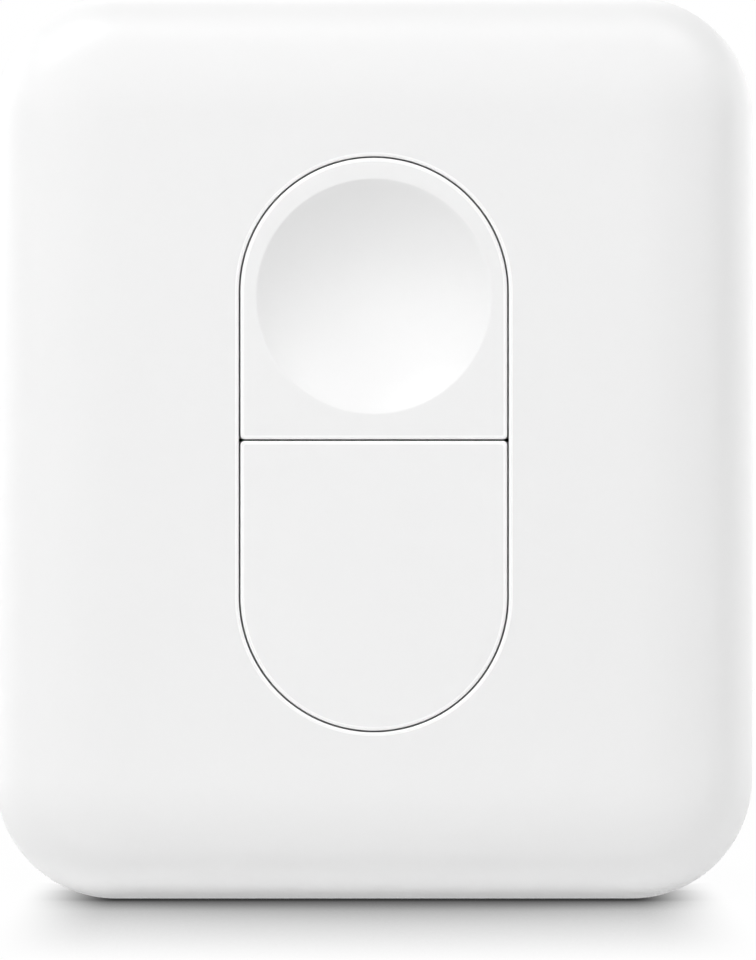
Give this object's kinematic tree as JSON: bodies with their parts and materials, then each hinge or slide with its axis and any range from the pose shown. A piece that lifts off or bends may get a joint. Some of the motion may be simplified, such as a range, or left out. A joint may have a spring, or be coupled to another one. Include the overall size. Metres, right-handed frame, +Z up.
{
  "type": "smart button",
  "caption": "Wireless smart button: soft-edged upright body, a dimpled upper key and a plain lower key split across one round-ended opening, coin cell and pull-off back cover.",
  "frame": {"origin": "bottom centre of the bounding box of the button as it stands on its short lower side", "axes": "+Z up, +X to the right as the keys are faced, -Y out of the face with the keys, +Y out of the back cover"},
  "size_m": [0.0364, 0.012, 0.0435],
  "materials": {
    "shell_white": "matte",
    "key_white": "matte",
    "board_green": "satin",
    "screw_steel": "satin",
    "black_plastic": "matte",
    "tin_plate": "satin",
    "spring_steel": "satin",
    "grey_plastic": "matte",
    "chip_epoxy": "matte",
    "tan_ceramic": "satin",
    "black_ceramic": "satin",
    "led_lens": "gloss",
    "gold_plate": "satin",
    "cell_steel": "satin",
    "cell_pellet": "matte"
  },
  "bodies": {
    "body": {"front_housing": "shell_white", "circuit_board": "board_green", "board_screws": "screw_steel", "upper_switch_base": "black_plastic", "upper_switch_terminals": "tin_plate", "upper_switch_dome": "spring_steel", "upper_switch_cover": "tin_plate", "lower_switch_base": "black_plastic", "lower_switch_terminals": "tin_plate", "lower_switch_dome": "spring_steel", "lower_switch_cover": "tin_plate", "radio_chip": "chip_epoxy", "radio_crystal": "tin_plate", "watch_crystal": "tin_plate", "chip_capacitors": "tan_ceramic", "chip_resistors": "black_ceramic", "status_led": "led_lens", "antenna_track": "gold_plate", "test_pads": "gold_plate", "battery_holder": "black_plastic", "positive_contact": "spring_steel", "negative_contact": "spring_steel", "coin_cell_can": "cell_steel", "coin_cell_seal": "grey_plastic", "coin_cell_cap": "cell_steel", "coin_cell_electrodes": "cell_pellet"},
    "upper_key": {"upper_key": "key_white"},
    "lower_key": {"lower_key": "key_white"},
    "upper_plunger": {"upper_switch_plunger": "grey_plastic"},
    "lower_plunger": {"lower_switch_plunger": "grey_plastic"},
    "back_cover": {"back_cover": "shell_white"}
  },
  "joints": [
    {"name": "upper_key_press", "type": "slide", "parent": "body", "child": "upper_key", "axis": [0, 1, 0], "range_m": [0, 0.0003], "stiffness_N_per_m": 4500, "springref_m": -0.00006, "deforming": ["upper_switch_dome"]},
    {"name": "lower_key_press", "type": "slide", "parent": "body", "child": "lower_key", "axis": [0, 1, 0], "range_m": [0, 0.0003], "stiffness_N_per_m": 4500, "springref_m": -0.00006, "deforming": ["lower_switch_dome"]},
    {"name": "upper_plunger_press", "type": "slide", "parent": "body", "child": "upper_plunger", "axis": [0, 1, 0], "range_m": [0, 0.0003]},
    {"name": "lower_plunger_press", "type": "slide", "parent": "body", "child": "lower_plunger", "axis": [0, 1, 0], "range_m": [0, 0.0003]},
    {"name": "back_cover_pull", "type": "slide", "parent": "body", "child": "back_cover", "axis": [0, 1, 0], "range_m": [0, 0.02]}
  ],
  "couplings": [
    {"joint": "upper_plunger_press", "follows": "upper_key_press", "ratio": 1},
    {"joint": "lower_plunger_press", "follows": "lower_key_press", "ratio": 1}
  ]
}
